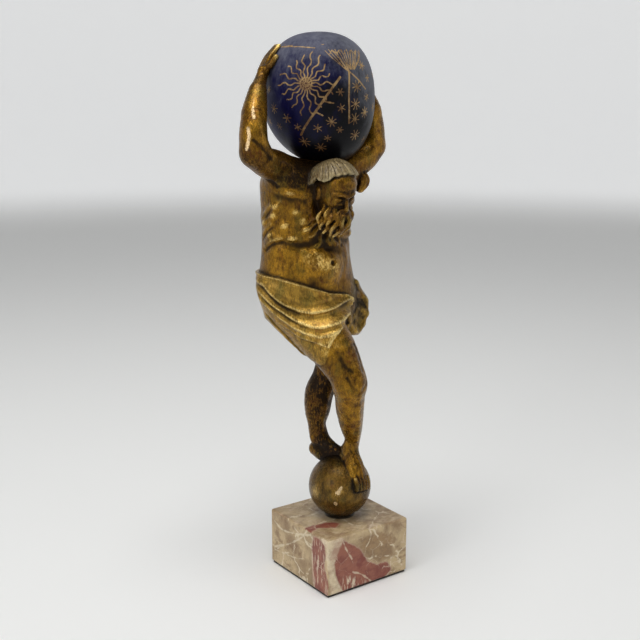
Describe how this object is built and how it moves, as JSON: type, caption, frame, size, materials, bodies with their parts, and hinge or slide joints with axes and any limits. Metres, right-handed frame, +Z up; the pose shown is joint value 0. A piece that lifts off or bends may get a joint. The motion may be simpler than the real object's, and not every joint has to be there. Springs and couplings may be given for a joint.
{
  "type": "atlas statue",
  "caption": "Carved giltwood figure of Atlas, arms raised under a painted celestial globe, standing on a small ball on a square marble block.",
  "frame": {"origin": "middle of the underside of the base pad, where the statue stands", "axes": "+Z up, the figure faces -Y, its right hand is at -X"},
  "size_m": [0.1091, 0.0796, 0.3325],
  "materials": {
    "giltwood": "worn gold leaf over red bole",
    "painted_wood": "dark blue paint with gilt figures, satin",
    "marble": "honed",
    "felt": "matt felt"
  },
  "bodies": {
    "root": {"atlas_figure": "giltwood", "globe": "painted_wood", "plinth": "marble", "base_felt": "felt"}
  },
  "joints": []
}
